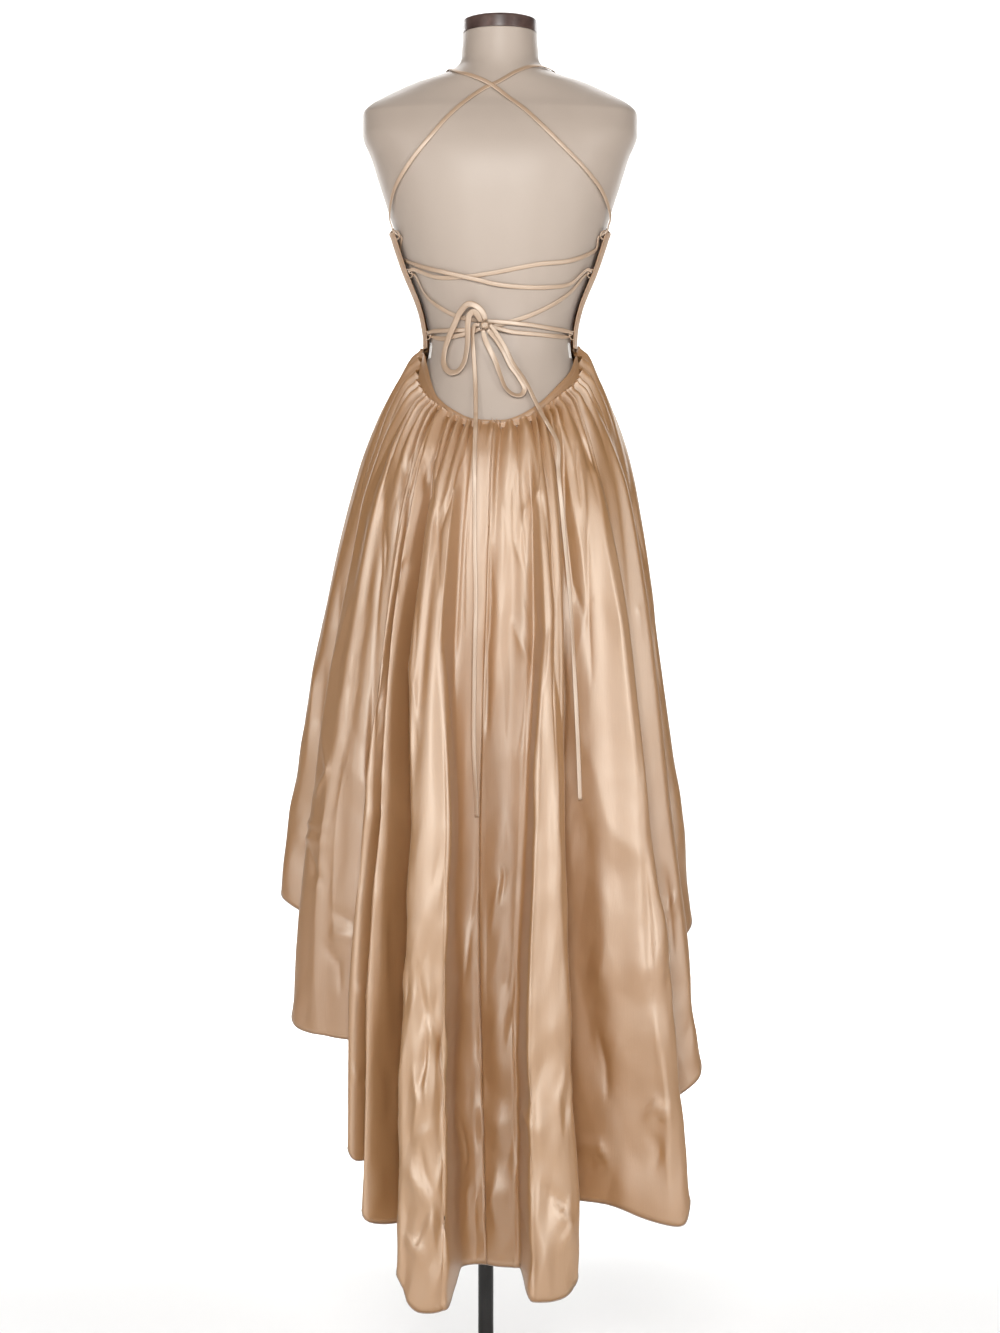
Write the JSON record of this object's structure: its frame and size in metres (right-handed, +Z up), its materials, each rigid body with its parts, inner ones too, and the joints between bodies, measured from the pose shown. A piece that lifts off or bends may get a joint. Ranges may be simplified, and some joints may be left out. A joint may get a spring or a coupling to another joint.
{
  "type": "high-low cocktail dress on a limbless dress form",
  "caption": "Floor-to-thigh high-low satin dress with crossed straps and a laced open back, on a limbless dress form with pole and round base.",
  "frame": {"origin": "centre of the round base's underside, on the pole's axis", "axes": "+Z up along the pole; -Y is the way the dress faces, so the laced back looks along +Y; +X is the wearer's left"},
  "size_m": [0.5928, 0.5367, 1.9113],
  "materials": {
    "satin": "champagne satin with a soft sheen",
    "form_cover": "pale beige jersey drawn smooth over a hard shell",
    "cap_wood": "dark brown, satin",
    "stand_black": "black, semi-gloss",
    "white_ribbon": "white satin ribbon"
  },
  "bodies": {
    "root": {"stand_base": "stand_black", "stand_collar": "stand_black", "stand_pole": "stand_black", "stand_flange": "stand_black", "form_torso": "form_cover", "form_neck_cap": "cap_wood", "bodice_front": "satin", "back_band_left": "satin", "back_band_right": "satin", "skirt_front": "satin", "skirt_back_left": "satin", "skirt_back_right": "satin", "lacing_loop_top_left": "satin", "lacing_loop_top_right": "satin", "lacing_loop_middle_left": "satin", "lacing_loop_middle_right": "satin", "lacing_loop_low_left": "satin", "lacing_loop_low_right": "satin", "strap_and_lacing_left": "satin", "strap_and_lacing_right": "satin", "bow_knot": "satin", "bow_loop_left": "satin", "bow_loop_right": "satin", "tail_left": "satin", "tail_right": "satin", "hanger_loop_left": "white_ribbon", "hanger_loop_right": "white_ribbon"}
  },
  "joints": []
}
